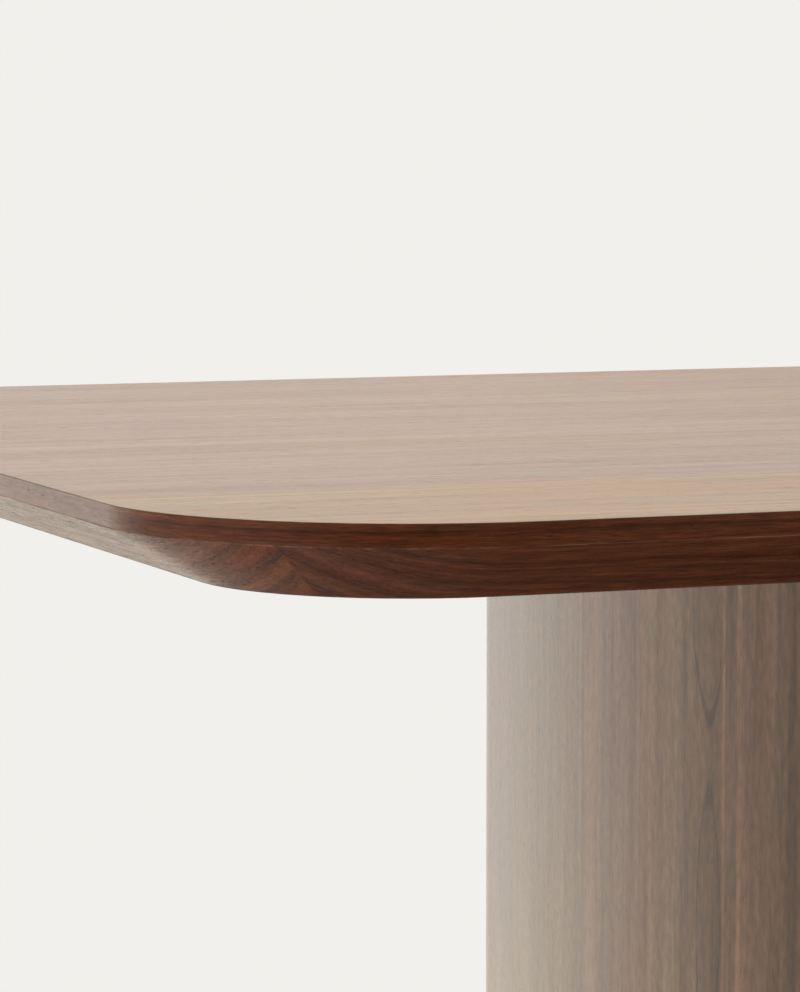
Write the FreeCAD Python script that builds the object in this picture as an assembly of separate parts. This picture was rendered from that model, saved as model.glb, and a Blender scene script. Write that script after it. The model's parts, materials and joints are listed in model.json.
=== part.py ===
import FreeCAD, Part
import math
import os
from FreeCAD import Placement, Rotation, Vector

# Dining table on two broad pedestals, in millimetres.
# The origin is on the floor under the middle of the top.
# X runs along the table, Y across it and Z up. The front is towards -Y.

# Whole table
table_length = 2000.0
table_width = 1000.0
table_height = 750.0

# Edge of the top: an upright band, then a bevel that runs in under it
upright_height = 11.4
bevel_height = 29.0
bevel_inset = 48.5
corner_radius = 156.0

# Layers and pieces of the top
veneer_thickness = 0.6
top_leaf_shares = (0.182, 0.183, 0.132, 0.168, 0.150, 0.185)
band_thickness = 3.0
lipping_width = 90.0
tongue_thickness = 6.0
tongue_depth = 12.0
tongue_stop = 60.0
spline_width = 24.0
spline_length = 24.0
spline_shoulder = 4.0

# Plan of a pedestal: two crowned faces, two rounded ends and four corners
pedestal_width = 580.0
pedestal_depth = 300.0
pedestal_setback = 572.0
face_radius = 1300.0
end_radius = 420.0
pedestal_corner = 80.0

# Pieces of a pedestal
shell_thickness = 15.0
leg_leaf_shares = (0.078, 0.053, 0.064, 0.072, 0.082, 0.062, 0.084,
                   0.070, 0.077, 0.060, 0.081, 0.073, 0.068, 0.076)
leg_first_joint_share = -0.100
top_board_thickness = 25.0
rib_thickness = 18.0
rib_height_shares = (1 / 3, 2 / 3)
base_board_thickness = 30.0
batten_width = 60.0
batten_thickness = 20.0

# Steel plate that joins a pedestal to the top
plate_width = 360.0
plate_depth = 150.0
plate_thickness = 5.0
plate_corner = 12.0
plate_clearance = 1.0
plate_pocket_play = 0.5
plate_screw_spread = 160.0
plate_screw_reach = 60.0
boss_radius = 11.0
boss_height = 16.0
boss_clearance = 1.0

# Countersunk plate screws and the threaded inserts they bite in
screw_radius = 3.0
screw_length = 25.0
screw_head_radius = 6.0
screw_head_height = 3.3
screw_socket_flats = 4.0
screw_socket_depth = 2.0
insert_radius = 5.0
insert_length = 18.0
insert_hole_spare = 4.0

# Tie rods, with a washer and a nut under the base board
rod_radius = 5.0
rod_spread_x = 50.0
rod_spread_y = 125.0
rod_hole_play = 1.0
rod_tip_play = 1.0
rod_chamfer = 1.0
washer_radius = 15.0
washer_thickness = 2.5
washer_play = 0.25
nut_flats = 16.0
nut_height = 8.4
nut_well_play = 2.0
nut_well_depth = 16.0
rod_end_past_nut = 3.0

# Levelling feet: a nylon pad on a threaded stem
foot_spread_x = 82.0
foot_spread_y = 210.0
foot_gap_at_rest = 3.0
pad_radius = 16.0
pad_height = 6.0
pad_chamfer = 1.0
pad_seat_depth = 3.5
pad_well_play = 3.0
pad_top_play = 0.5
stem_radius = 4.0
stem_length = 36.0
stem_chamfer = 0.8
foot_insert_radius = 6.0
foot_insert_length = 24.0

# Radial gap in every screwed fit, and the shortest stretch of an outline worth drawing
thread_gap = 0.1
shortest_edge = 0.01

# Levels worked out from the sizes above
top_underside = table_height - upright_height - bevel_height
crest_level = table_height - upright_height
veneer_level = table_height - veneer_thickness
lower_board_underside = top_underside + veneer_thickness
pedestal_foot = foot_gap_at_rest
base_board_top = pedestal_foot + base_board_thickness
top_board_underside = top_underside - top_board_thickness
plate_underside = top_underside - plate_thickness
nut_well_top = pedestal_foot + nut_well_depth
washer_underside = nut_well_top - washer_thickness
nut_underside = washer_underside - nut_height
pad_well_top = pad_height + pad_top_play
shell_depth = veneer_thickness + shell_thickness


def box(x_low, x_high, y_low, y_high, low, high):
    """Block between two levels."""
    corner = Vector(x_low, y_low, low)
    return Part.makeBox(x_high - x_low, y_high - y_low, high - low, corner)


def cylinder(radius, x, y, low, high):
    """Upright round bar between two levels."""
    return Part.makeCylinder(radius, high - low, Vector(x, y, low))


def hexagon(flats, x, y, low, high):
    """Upright hexagonal bar between two levels, from its size across flats."""
    reach = flats / math.sqrt(3)
    points = []
    for turn in range(7):
        angle = math.radians(60 * turn)
        points.append(Vector(x + reach * math.cos(angle), y + reach * math.sin(angle), low))
    return Part.Face(Part.makePolygon(points)).extrude(Vector(0, 0, high - low))


def slab(wire, low, high):
    """Solid of a plan outline between two levels; the outline lies at level 0."""
    face = Part.Face(wire)
    face.translate(Vector(0, 0, low))
    return face.extrude(Vector(0, 0, high - low))


def polygon_slab(points, low, high):
    """Solid of a straight-sided plan between two levels."""
    closed = [Vector(x, y, 0) for x, y in points + points[:1]]
    return slab(Part.makePolygon(closed), low, high)


def joined(shapes):
    """One compound of separate solids."""
    solids = []
    for shape in shapes:
        solids.extend(shape.Solids)
    return Part.makeCompound(solids)


def save(name, shape):
    """Write one node as a STEP file, and print its volume as a check."""
    solids = shape.Solids
    kept = solids[0] if len(solids) == 1 else Part.makeCompound(solids)
    kept.exportStep(os.path.join("parts", name + ".step"))
    print(name, len(solids), "solids", round(kept.Volume), "mm3", kept.isValid())


# Plan outlines of the top

def rounded_outline(inset, level):
    """Rounded rectangle a given distance inside the edge of the top."""
    half_x = table_length / 2 - inset
    half_y = table_width / 2 - inset
    radius = corner_radius - inset
    edges = []
    corners = ((1, 1, 0), (-1, 1, 90), (-1, -1, 180), (1, -1, 270))
    arcs = []
    for sign_x, sign_y, start in corners:
        centre = Vector(sign_x * (half_x - radius), sign_y * (half_y - radius), level)
        circle = Part.Circle(centre, Vector(0, 0, 1), radius)
        arcs.append(Part.Arc(circle, math.radians(start), math.radians(start + 90)).toShape())
    for index, arc in enumerate(arcs):
        following = arcs[(index + 1) % len(arcs)]
        edges.append(arc)
        edges.append(Part.LineSegment(arc.valueAt(arc.LastParameter),
                                      following.valueAt(following.FirstParameter)).toShape())
    return Part.Wire(edges)


def bevelled_block():
    """Everything of the top below the crest line, with its bevel all round."""
    crest = rounded_outline(0, crest_level)
    underside = rounded_outline(bevel_inset, top_underside)
    return Part.makeLoft([underside, crest], True, True)


def lipping_region(side):
    """Mitred plan of one solid lipping, over the full height of the block."""
    outer_x = table_length / 2
    outer_y = table_width / 2
    inner_x = outer_x - lipping_width
    inner_y = outer_y - lipping_width
    plans = {
        "front": ((-outer_x, -outer_y), (outer_x, -outer_y), (inner_x, -inner_y), (-inner_x, -inner_y)),
        "back": ((-outer_x, outer_y), (outer_x, outer_y), (inner_x, inner_y), (-inner_x, inner_y)),
        "left": ((-outer_x, -outer_y), (-outer_x, outer_y), (-inner_x, inner_y), (-inner_x, -inner_y)),
        "right": ((outer_x, -outer_y), (outer_x, outer_y), (inner_x, inner_y), (inner_x, -inner_y)),
    }
    return polygon_slab(list(plans[side]), lower_board_underside, crest_level)


def board_tongues():
    """Loose tongues between the lower board and the four lippings."""
    joint_x = table_length / 2 - lipping_width
    joint_y = table_width / 2 - lipping_width
    middle = (lower_board_underside + crest_level) / 2
    low = middle - tongue_thickness / 2
    high = middle + tongue_thickness / 2
    run_x = joint_x - tongue_stop
    run_y = joint_y - tongue_stop
    tongues = []
    for sign in (-1, 1):
        near = sign * joint_y - tongue_depth
        far = sign * joint_y + tongue_depth
        tongues.append(box(-run_x, run_x, near, far, low, high))
        near = sign * joint_x - tongue_depth
        far = sign * joint_x + tongue_depth
        tongues.append(box(near, far, -run_y, run_y, low, high))
    return joined(tongues)


def mitre_splines():
    """A short flat spline across each mitre, just outside the board's corner."""
    corner_x = table_length / 2 - lipping_width
    corner_y = table_width / 2 - lipping_width
    middle = (lower_board_underside + crest_level) / 2
    low = middle - tongue_thickness / 2
    high = middle + tongue_thickness / 2
    splines = []
    for sign_x in (-1, 1):
        for sign_y in (-1, 1):
            spline = box(spline_shoulder, spline_shoulder + spline_length,
                         -spline_width / 2, spline_width / 2, low, high)
            angle = math.degrees(math.atan2(sign_y, sign_x))
            corner = Vector(sign_x * corner_x, sign_y * corner_y, 0)
            spline.Placement = Placement(corner, Rotation(Vector(0, 0, 1), angle))
            splines.append(spline)
    return joined(splines)


def face_leaves():
    """Veneer leaves of the upper face, side by side along the table."""
    face = slab(rounded_outline(0, 0), veneer_level, table_height)
    leaves = []
    near = -table_width / 2
    for share in top_leaf_shares:
        far = near + share * table_width
        strip = box(-table_length / 2, table_length / 2, near, far, veneer_level, table_height)
        leaves.append(face.common(strip))
        near = far
    return joined(leaves)


def edge_band(sign):
    """Bent walnut band round one half of the upper board."""
    outer = slab(rounded_outline(0, 0), crest_level, veneer_level)
    inner = slab(rounded_outline(band_thickness, 0), crest_level, veneer_level)
    near, far = sorted((0, sign * table_width / 2))
    half = box(-table_length / 2, table_length / 2, near, far, crest_level, veneer_level)
    return outer.cut(inner).common(half)


def insert_places():
    """Plan places of the plate screws of one pedestal, from the pedestal's centre."""
    places = []
    for x in (-plate_screw_reach, plate_screw_reach):
        for y in (-plate_screw_spread, 0, plate_screw_spread):
            places.append((x, y))
    return places


# Plan of a pedestal

def corner_centre():
    """Centre of a corner arc that runs smoothly into a face and an end."""
    face_x = pedestal_depth / 2 - face_radius
    end_y = pedestal_width / 2 - end_radius
    to_face = face_radius - pedestal_corner
    to_end = end_radius - pedestal_corner
    apart = math.hypot(face_x, end_y)
    along = (to_face ** 2 - to_end ** 2 + apart ** 2) / (2 * apart)
    aside = math.sqrt(to_face ** 2 - along ** 2)
    step_x = -face_x / apart
    step_y = end_y / apart
    return face_x + along * step_x - aside * step_y, along * step_y + aside * step_x


def plan_arcs():
    """Arcs once round the pedestal, as centre, radius, start and end angle, from the outer face's middle."""
    centre_x, centre_y = corner_centre()
    face_x = pedestal_depth / 2 - face_radius
    end_y = pedestal_width / 2 - end_radius
    face_turn = math.atan2(centre_y, centre_x - face_x)
    end_turn = math.atan2(centre_y - end_y, centre_x)
    half = math.pi
    full = 2 * math.pi
    return (
        (face_x, 0, face_radius, 0, face_turn),
        (centre_x, centre_y, pedestal_corner, face_turn, end_turn),
        (0, end_y, end_radius, end_turn, half - end_turn),
        (-centre_x, centre_y, pedestal_corner, half - end_turn, half - face_turn),
        (-face_x, 0, face_radius, half - face_turn, half + face_turn),
        (-centre_x, -centre_y, pedestal_corner, half + face_turn, half + end_turn),
        (0, -end_y, end_radius, half + end_turn, full - end_turn),
        (centre_x, -centre_y, pedestal_corner, full - end_turn, full - face_turn),
        (face_x, 0, face_radius, full - face_turn, full),
    )


def plan_girth():
    """Distance once round the outside of a pedestal."""
    return sum(radius * (stop - start) for _, _, radius, start, stop in plan_arcs())


def plan_edges(begin, end, depth):
    """Edges at a depth under the surface, between two distances round the outside, for up to three laps."""
    edges = []
    passed = 0
    for x, y, radius, start, stop in plan_arcs() * 3:
        length = radius * (stop - start)
        first = max(begin, passed)
        last = min(end, passed + length)
        if last - first > shortest_edge:
            circle = Part.Circle(Vector(x, y, 0), Vector(0, 0, 1), radius - depth)
            angles = [start + (reach - passed) / radius for reach in (first, last)]
            edges.append(Part.Arc(circle, *angles).toShape())
        passed += length
    return edges


def plan_slab(depth, low, high):
    """Solid that fills a pedestal's plan up to a depth under its surface."""
    return slab(Part.Wire(plan_edges(0, plan_girth(), depth)), low, high)


def plan_strip(begin, end, outer_depth, inner_depth, low, high):
    """Part of a wall that follows the plan, between two distances round it."""
    outer = plan_edges(begin, end, outer_depth)
    inner = plan_edges(begin, end, inner_depth)
    first = outer[0].valueAt(outer[0].FirstParameter), inner[0].valueAt(inner[0].FirstParameter)
    last = outer[-1].valueAt(outer[-1].LastParameter), inner[-1].valueAt(inner[-1].LastParameter)
    closing = [Part.LineSegment(*first).toShape(), Part.LineSegment(*last).toShape()]
    wire = Part.Wire(outer + closing[1:] + inner[::-1] + closing[:1])
    return slab(wire, low, high)


# Pieces of a pedestal, about its own centre, with +X towards the end of the table

def leg_leaves():
    """Upright veneer leaves round the pedestal, butted edge to edge."""
    girth = plan_girth()
    leaves = []
    begin = (1 + leg_first_joint_share) * girth
    for share in leg_leaf_shares:
        end = begin + share * girth
        leaves.append(plan_strip(begin, end, 0, veneer_thickness, pedestal_foot, top_underside))
        begin = end
    return joined(leaves)


def half_shell(outer_side):
    """Bent plywood half of the column; the halves meet at the middle of the ends."""
    girth = plan_girth()
    begin = girth * 3 / 4 if outer_side else girth / 4
    return plan_strip(begin, begin + girth / 2, veneer_thickness, shell_depth, pedestal_foot, top_underside)


def seam_battens():
    """Two upright battens glued behind the seams of the shell."""
    girth = plan_girth()
    battens = []
    for middle in (girth / 4, girth * 3 / 4):
        battens.append(plan_strip(middle - batten_width / 2, middle + batten_width / 2, shell_depth,
                                  shell_depth + batten_thickness, base_board_top, top_board_underside))
    return joined(battens)


def rod_places():
    """Plan places of the four tie rods."""
    return [(x, y) for x in (-rod_spread_x, rod_spread_x) for y in (-rod_spread_y, rod_spread_y)]


def foot_places():
    """Plan places of the four levelling feet."""
    return [(x, y) for x in (-foot_spread_x, foot_spread_x) for y in (-foot_spread_y, foot_spread_y)]


def rounded_plate(grow, low, high):
    """Plan of the steel plate, grown by a clearance, between two levels."""
    half_x = plate_depth / 2 + grow
    half_y = plate_width / 2 + grow
    plate = box(-half_x, half_x, -half_y, half_y, low, high)
    upright = [edge for edge in plate.Edges if abs(edge.tangentAt(edge.FirstParameter).z) > 0.5]
    return plate.makeFillet(plate_corner + grow, upright)


def top_board():
    """Board that closes the column's top, with a pocket for the plate and wells for its bosses."""
    board = plan_slab(shell_depth, top_board_underside, top_underside)
    pocket_floor = plate_underside - plate_pocket_play
    board = board.cut(rounded_plate(plate_clearance, pocket_floor, top_underside))
    well_floor = plate_underside - boss_height
    for x, y in rod_places():
        board = board.cut(cylinder(boss_radius + boss_clearance, x, y, well_floor, pocket_floor))
        board = board.cut(cylinder(rod_radius + rod_hole_play, x, y, top_board_underside, well_floor))
    return board


def rib(share, battens):
    """Former inside the column, notched round the battens."""
    middle = base_board_top + share * (top_board_underside - base_board_top)
    low = middle - rib_thickness / 2
    high = middle + rib_thickness / 2
    board = plan_slab(shell_depth, low, high).cut(battens)
    for x, y in rod_places():
        board = board.cut(cylinder(rod_radius + rod_hole_play, x, y, low, high))
    return board


def base_board():
    """Board that closes the column's foot, with wells for the nuts and the feet."""
    board = plan_slab(shell_depth, pedestal_foot, base_board_top)
    for x, y in rod_places():
        board = board.cut(cylinder(washer_radius + nut_well_play, x, y, pedestal_foot, nut_well_top))
        board = board.cut(cylinder(rod_radius + rod_hole_play, x, y, nut_well_top, base_board_top))
    for x, y in foot_places():
        board = board.cut(cylinder(pad_radius + pad_well_play, x, y, pedestal_foot, pad_well_top))
        board = board.cut(cylinder(foot_insert_radius, x, y, pad_well_top, base_board_top))
    return board


def mounting_plate():
    """Steel plate with four welded, threaded bosses and six countersunk holes."""
    plate = rounded_plate(0, plate_underside, top_underside)
    for x, y in rod_places():
        plate = plate.fuse(cylinder(boss_radius, x, y, plate_underside - boss_height, plate_underside))
    plate = plate.removeSplitter()
    for x, y in rod_places():
        plate = plate.cut(cylinder(rod_radius + thread_gap, x, y, plate_underside - boss_height, top_underside))
    for x, y in insert_places():
        plate = plate.cut(screw_body(x, y, thread_gap))
    return plate


def screw_body(x, y, grow):
    """Countersunk screw with its head down in the plate, grown by a gap all round."""
    head = Part.makeCone(screw_head_radius + grow, screw_radius + grow, screw_head_height,
                         Vector(x, y, plate_underside))
    shank = cylinder(screw_radius + grow, x, y, plate_underside, plate_underside + screw_length)
    return head.fuse(shank)


def plate_screws():
    """Six countersunk machine screws with hexagon sockets."""
    screws = []
    for x, y in insert_places():
        socket = hexagon(screw_socket_flats, x, y, plate_underside, plate_underside + screw_socket_depth)
        screws.append(screw_body(x, y, 0).cut(socket))
    return joined(screws)


def threaded_tube(outer, inner, x, y, low, high):
    """Threaded insert as a plain tube."""
    return cylinder(outer, x, y, low, high).cut(cylinder(inner, x, y, low, high))


def plate_inserts():
    """Threaded inserts in the top that take the plate screws."""
    return joined([threaded_tube(insert_radius, screw_radius + thread_gap, x, y, lower_board_underside,
                                 lower_board_underside + insert_length) for x, y in insert_places()])


def tie_rods():
    """Four rods from the plate's bosses down through the ribs to the base board."""
    rods = []
    for x, y in rod_places():
        rod = cylinder(rod_radius, x, y, nut_underside - rod_end_past_nut, top_underside - rod_tip_play)
        ends = [edge for edge in rod.Edges if len(edge.Vertexes) == 1]
        rods.append(rod.makeChamfer(rod_chamfer, ends))
    return joined(rods)


def rod_washers():
    """Wide washers that spread the pull of the tie rods on the base board."""
    return joined([threaded_tube(washer_radius, rod_radius + washer_play, x, y, washer_underside,
                                 nut_well_top) for x, y in rod_places()])


def rod_nuts():
    """Hexagon nuts on the lower ends of the tie rods."""
    nuts = []
    for x, y in rod_places():
        nut = hexagon(nut_flats, x, y, nut_underside, washer_underside)
        nuts.append(nut.cut(cylinder(rod_radius + thread_gap, x, y, nut_underside, washer_underside)))
    return joined(nuts)


def foot_inserts():
    """Threaded inserts in the base board that take the feet."""
    return joined([threaded_tube(foot_insert_radius, stem_radius + thread_gap, x, y, pad_well_top,
                                 pad_well_top + foot_insert_length) for x, y in foot_places()])


def foot_pad(x, y):
    """Nylon pad that stands on the floor, with a seat for the stem."""
    pad = cylinder(pad_radius, x, y, 0, pad_height)
    rims = [edge for edge in pad.Edges if len(edge.Vertexes) == 1]
    pad = pad.makeChamfer(pad_chamfer, rims)
    seat = cylinder(stem_radius + thread_gap, x, y, pad_height - pad_seat_depth, pad_height)
    return pad.cut(seat)


def foot_stem(x, y):
    """Threaded stem that stands in the pad and screws into the base board."""
    low = pad_height - pad_seat_depth
    stem = cylinder(stem_radius, x, y, low, low + stem_length)
    ends = [edge for edge in stem.Edges if len(edge.Vertexes) == 1]
    return stem.makeChamfer(stem_chamfer, ends)


# The top

def top_parts(inserts):
    """All pieces of the top by name; the inserts' holes are cut in what they pass."""
    block = bevelled_block()
    tongues = board_tongues()
    splines = mitre_splines()
    board_x = table_length / 2 - lipping_width
    board_y = table_width / 2 - lipping_width
    parts = {
        "top_face_veneer": face_leaves(),
        "top_upper_board": slab(rounded_outline(band_thickness, 0), crest_level, veneer_level),
        "top_edge_band_front": edge_band(-1),
        "top_edge_band_back": edge_band(1),
        "top_board_tongues": tongues,
        "top_mitre_splines": splines,
    }
    for side in ("front", "back", "left", "right"):
        lipping = block.common(lipping_region(side))
        parts["top_lipping_" + side] = lipping.cut(tongues).cut(splines)
    board = box(-board_x, board_x, -board_y, board_y, lower_board_underside, crest_level).cut(tongues)
    skin_region = box(-table_length / 2, table_length / 2, -table_width / 2, table_width / 2,
                      top_underside, lower_board_underside)
    skin = block.common(skin_region)
    hole_top = lower_board_underside + insert_length + insert_hole_spare
    for x, y in inserts:
        board = board.cut(cylinder(insert_radius, x, y, lower_board_underside, hole_top))
        skin = skin.cut(cylinder(insert_radius, x, y, top_underside, lower_board_underside))
    parts["top_lower_board"] = board
    parts["top_underside_veneer"] = skin
    return parts


def pedestal_parts():
    """All fixed pieces of one pedestal by name."""
    battens = seam_battens()
    return {
        "shell_outer": half_shell(True),
        "shell_inner": half_shell(False),
        "veneer": leg_leaves(),
        "seam_battens": battens,
        "top_board": top_board(),
        "lower_rib": rib(rib_height_shares[0], battens),
        "upper_rib": rib(rib_height_shares[1], battens),
        "base_board": base_board(),
        "mounting_plate": mounting_plate(),
        "plate_screws": plate_screws(),
        "plate_inserts": plate_inserts(),
        "tie_rods": tie_rods(),
        "rod_washers": rod_washers(),
        "rod_nuts": rod_nuts(),
        "foot_inserts": foot_inserts(),
    }


# Each pedestal is turned so that its outer face looks to its end of the table
sides = {"left": -1, "right": 1}


def placed(shape, sign):
    """Copy of a pedestal's piece at its place under the top."""
    turn = 0 if sign > 0 else 180
    centre = Vector(sign * (table_length / 2 - pedestal_setback), 0, 0)
    copy = shape.copy()
    copy.Placement = Placement(centre, Rotation(Vector(0, 0, 1), turn)).multiply(shape.Placement)
    return copy


def placed_point(x, y, sign):
    """Plan place under the top of a point given from a pedestal's centre."""
    return sign * (table_length / 2 - pedestal_setback + x), sign * y


os.makedirs("parts", exist_ok=True)

all_inserts = [placed_point(x, y, sign) for sign in sides.values() for x, y in insert_places()]
for name, shape in top_parts(all_inserts).items():
    save(name, shape)

fixed = pedestal_parts()
for side, sign in sides.items():
    for name, shape in fixed.items():
        save(side + "_" + name, placed(shape, sign))
    for x, y in foot_places():
        row = "back" if y * sign > 0 else "front"
        end = "outer" if x > 0 else "inner"
        foot = side + "_foot_" + row + "_" + end
        save(foot + "_pad", placed(foot_pad(x, y), sign))
        save(foot + "_stem", placed(foot_stem(x, y), sign))

print("girth of a pedestal", round(plan_girth(), 1))
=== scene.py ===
import json
import math

import bmesh
import bpy
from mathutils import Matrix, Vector


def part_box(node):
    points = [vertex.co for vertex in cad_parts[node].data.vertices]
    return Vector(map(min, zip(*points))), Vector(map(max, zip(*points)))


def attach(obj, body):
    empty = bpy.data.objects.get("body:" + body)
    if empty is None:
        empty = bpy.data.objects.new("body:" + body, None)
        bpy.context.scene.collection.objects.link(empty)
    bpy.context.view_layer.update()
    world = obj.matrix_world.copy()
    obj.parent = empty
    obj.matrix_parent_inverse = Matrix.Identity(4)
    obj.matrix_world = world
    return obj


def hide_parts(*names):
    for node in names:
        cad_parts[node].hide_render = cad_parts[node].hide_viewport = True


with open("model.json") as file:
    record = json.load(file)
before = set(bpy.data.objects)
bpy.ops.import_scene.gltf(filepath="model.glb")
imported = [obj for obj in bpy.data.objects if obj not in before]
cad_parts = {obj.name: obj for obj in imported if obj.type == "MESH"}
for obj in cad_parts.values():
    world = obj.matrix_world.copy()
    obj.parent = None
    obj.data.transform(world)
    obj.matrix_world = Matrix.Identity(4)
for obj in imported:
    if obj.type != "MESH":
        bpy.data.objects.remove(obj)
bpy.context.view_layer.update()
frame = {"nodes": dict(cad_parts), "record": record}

# Looks of a walnut dining table on two broad pedestals, in metres.
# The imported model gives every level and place; X runs along the table and the front is towards -Y.

# Levels and reaches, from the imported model
face_low, face_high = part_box("top_face_veneer")
block_low, block_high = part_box("top_lipping_front")
skin_low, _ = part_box("top_underside_veneer")
leg_low, leg_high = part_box("right_veneer")
half_length = face_high.x
half_width = face_high.y
table_height = face_high.z
veneer_level = face_low.z
crest_level = block_high.z
block_underside = block_low.z
top_underside = skin_low.z
pedestal_foot = leg_low.z
pedestal_place = (leg_low.x + leg_high.x) / 2
pedestal_width = leg_high.y - leg_low.y
pedestal_depth = leg_high.x - leg_low.x

# The top
corner_radius = 0.156
corner_steps = 48
bevel_inset = 0.0485
lipping_width = 0.090
band_thickness = 0.003
arris_round = 0.0003
arris_steps = 2
crest_wall = 0.0004
crest_round = 0.00034
crest_steps = 3
top_leaf_shares = (0.182, 0.183, 0.132, 0.168, 0.150, 0.185)

# The pedestals
face_radius = 1.300
end_radius = 0.420
pedestal_corner = 0.080
veneer_thickness = 0.0006
shell_thickness = 0.015
leg_leaf_shares = (0.078, 0.053, 0.064, 0.072, 0.082, 0.062, 0.084,
                   0.070, 0.077, 0.060, 0.081, 0.073, 0.068, 0.076)
leg_first_joint_share = -0.100
laps_counted = 3
curve_error = 0.00002

# Finest differences that still count as one place, in metres, and as one direction, in radians
weld_gap = 1e-6
level_gap = 1e-5
outline_gap = 1e-4
angle_gap = 1e-5

# Bends that stay sharp, in degrees, and how far the normals of upright sides and of the crest may rise
sharp_bend = 25
sharp_arris = 50
upright_rise = 0.3
crest_rise = 0.8

# Full brightness, and no shade at all
white = (1.0, 1.0, 1.0, 1.0)

# Photograph's camera
photo_height = 992
focal_pixels = 4129.64
sensor_width = 36.0
camera_place = (-1.6054, -2.2347, 0.9369)
camera_dip = 0.0923
camera_turn = -0.3810
nearest_shown = 0.1
farthest_shown = 100.0

# Studio backdrop: brightness by the angle away from behind the table, as shares of half a turn
backdrop_colour = (0.8796, 0.8714, 0.8388, 1.0)
studio_white = (1.0, 0.985, 0.95, 1.0)
backdrop_turn = math.radians(-5)
backdrop_levels = ((0.00, 1.22), (0.095, 1.22), (0.125, 1.05), (0.154, 0.98), (0.183, 0.81), (0.211, 0.60),
                   (0.250, 0.54), (0.287, 0.34), (0.378, 0.35), (0.528, 0.34), (0.639, 0.32), (0.72, 0.12),
                   (0.82, 0.03), (1.00, 0.03))

# Warmer wall to the left, warm sweep low behind the table, and white dome overhead: where each comes in
warm_wall = (1.13, 1.09, 1.05, 1.0)
warm_wall_start = (-0.04, -0.17)
warm_sweep = (1.12, 1.08, 0.98, 1.0)
sweep_drop = (-0.17, -0.21)
sweep_back = (0.3, 0.7)
dome_rise = (0.30, 0.65)

# Studio floor, with its rim and its fading as shares of its radius
floor_radius = 1.80
floor_sides = 96
floor_gap = 0.0002
# The darker middle is painted shade under the table, in the light that the floor throws back
floor_painted_shade_colour = (0.48, 0.455, 0.42, 1.0)
floor_rim_colour = (0.75, 0.73, 0.69, 1.0)
floor_rim_start = 0.40
floor_rim_full = 0.65
floor_fade_start = 0.70

# Lamps
softbox = {"length": 3.0, "width": 2.2, "energy": 21.0, "place": (-0.3, 0.4, 2.9)}
floor_bounce = {"length": 1.2, "width": 1.6, "energy": 4.8, "place": (-1.82, -0.40, 0.02),
                "turn": math.pi, "spread": 150}


# Modelling

def deselect():
    """Leave nothing selected."""
    bpy.ops.object.select_all(action="DESELECT")


def pick(piece):
    """Select one piece alone and make it active."""
    deselect()
    piece.select_set(True)
    bpy.context.view_layer.objects.active = piece


def edit(piece):
    """Open a piece for editing with everything in it selected."""
    pick(piece)
    bpy.ops.object.mode_set(mode="EDIT")
    bpy.ops.mesh.select_all(action="SELECT")


def close():
    """Back to object mode."""
    bpy.ops.object.mode_set(mode="OBJECT")


def named(name):
    """Name the piece that was just added."""
    piece = bpy.context.active_object
    piece.name = name
    piece.data.name = name
    return piece


def settle():
    """Put the active piece's place, turn and size into its mesh."""
    bpy.ops.object.transform_apply(location=True, rotation=True, scale=True)


def copy_of(piece, name):
    """Copy of a piece with its own mesh."""
    twin = piece.copy()
    twin.data = piece.data.copy()
    twin.name = name
    twin.data.name = name
    bpy.context.scene.collection.objects.link(twin)
    return twin


def select_edges(piece, wanted):
    """Select the edges whose two ends pass a test, in edit mode."""
    bpy.ops.mesh.select_mode(type="EDGE")
    bpy.ops.mesh.select_all(action="DESELECT")
    mesh = bmesh.from_edit_mesh(piece.data)
    for edge in mesh.edges:
        if wanted(edge.verts[0].co, edge.verts[1].co):
            edge.select_set(True)
    bmesh.update_edit_mesh(piece.data)


def cut_away(piece, point, towards):
    """Cut a closed piece by a plane and drop what lies in one direction."""
    edit(piece)
    bpy.ops.mesh.bisect(plane_co=point, plane_no=towards, use_fill=True, clear_outer=True)
    close()


def turn_out(piece):
    """Face every side of a closed piece outwards."""
    edit(piece)
    bpy.ops.mesh.normals_make_consistent(inside=False)
    close()


def carve(piece, tool):
    """Cut another shape out of a piece."""
    pick(piece)
    bpy.ops.object.modifier_add(type="BOOLEAN")
    cutter = piece.modifiers[-1]
    cutter.operation = "DIFFERENCE"
    cutter.solver = "EXACT"
    cutter.object = tool
    bpy.ops.object.modifier_apply(modifier=cutter.name)


def smooth(piece, degrees=sharp_bend):
    """Smooth shading up to an angle, with flat faces kept flat."""
    edit(piece)
    bpy.ops.mesh.faces_shade_smooth()
    bpy.ops.mesh.select_mode(type="EDGE")
    bpy.ops.mesh.select_all(action="DESELECT")
    bpy.ops.mesh.edges_select_sharp(sharpness=math.radians(degrees))
    bpy.ops.mesh.mark_sharp()
    close()
    bpy.ops.object.modifier_add(type="WEIGHTED_NORMAL")
    weighted = piece.modifiers[-1]
    weighted.keep_sharp = True
    bpy.ops.object.modifier_apply(modifier=weighted.name)


def solid_copy(node):
    """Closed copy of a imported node, as a tool to cut with."""
    tool = copy_of(frame["nodes"][node], node + "_tool")
    tool.parent = None
    edit(tool)
    bpy.ops.mesh.remove_doubles(threshold=weld_gap)
    close()
    return tool


def discard(*pieces):
    """Remove tools that have done their work."""
    for piece in pieces:
        bpy.data.objects.remove(piece)


def write_map(piece, place):
    """Give a piece a map in metres: where along and across the grain each corner lies."""
    layer = piece.data.uv_layers.new(name="grain")
    for corner in piece.data.loops:
        layer.data[corner.index].uv = place(piece.data.vertices[corner.vertex_index].co)


def write_leaf(piece, leaf):
    """Give a piece its own wood, as numbers that its material reads."""
    for name, value in leaf.items():
        layer = piece.data.attributes.new(name, "FLOAT_VECTOR", "POINT")
        layer.data.foreach_set("vector", list(value) * len(piece.data.vertices))


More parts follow.
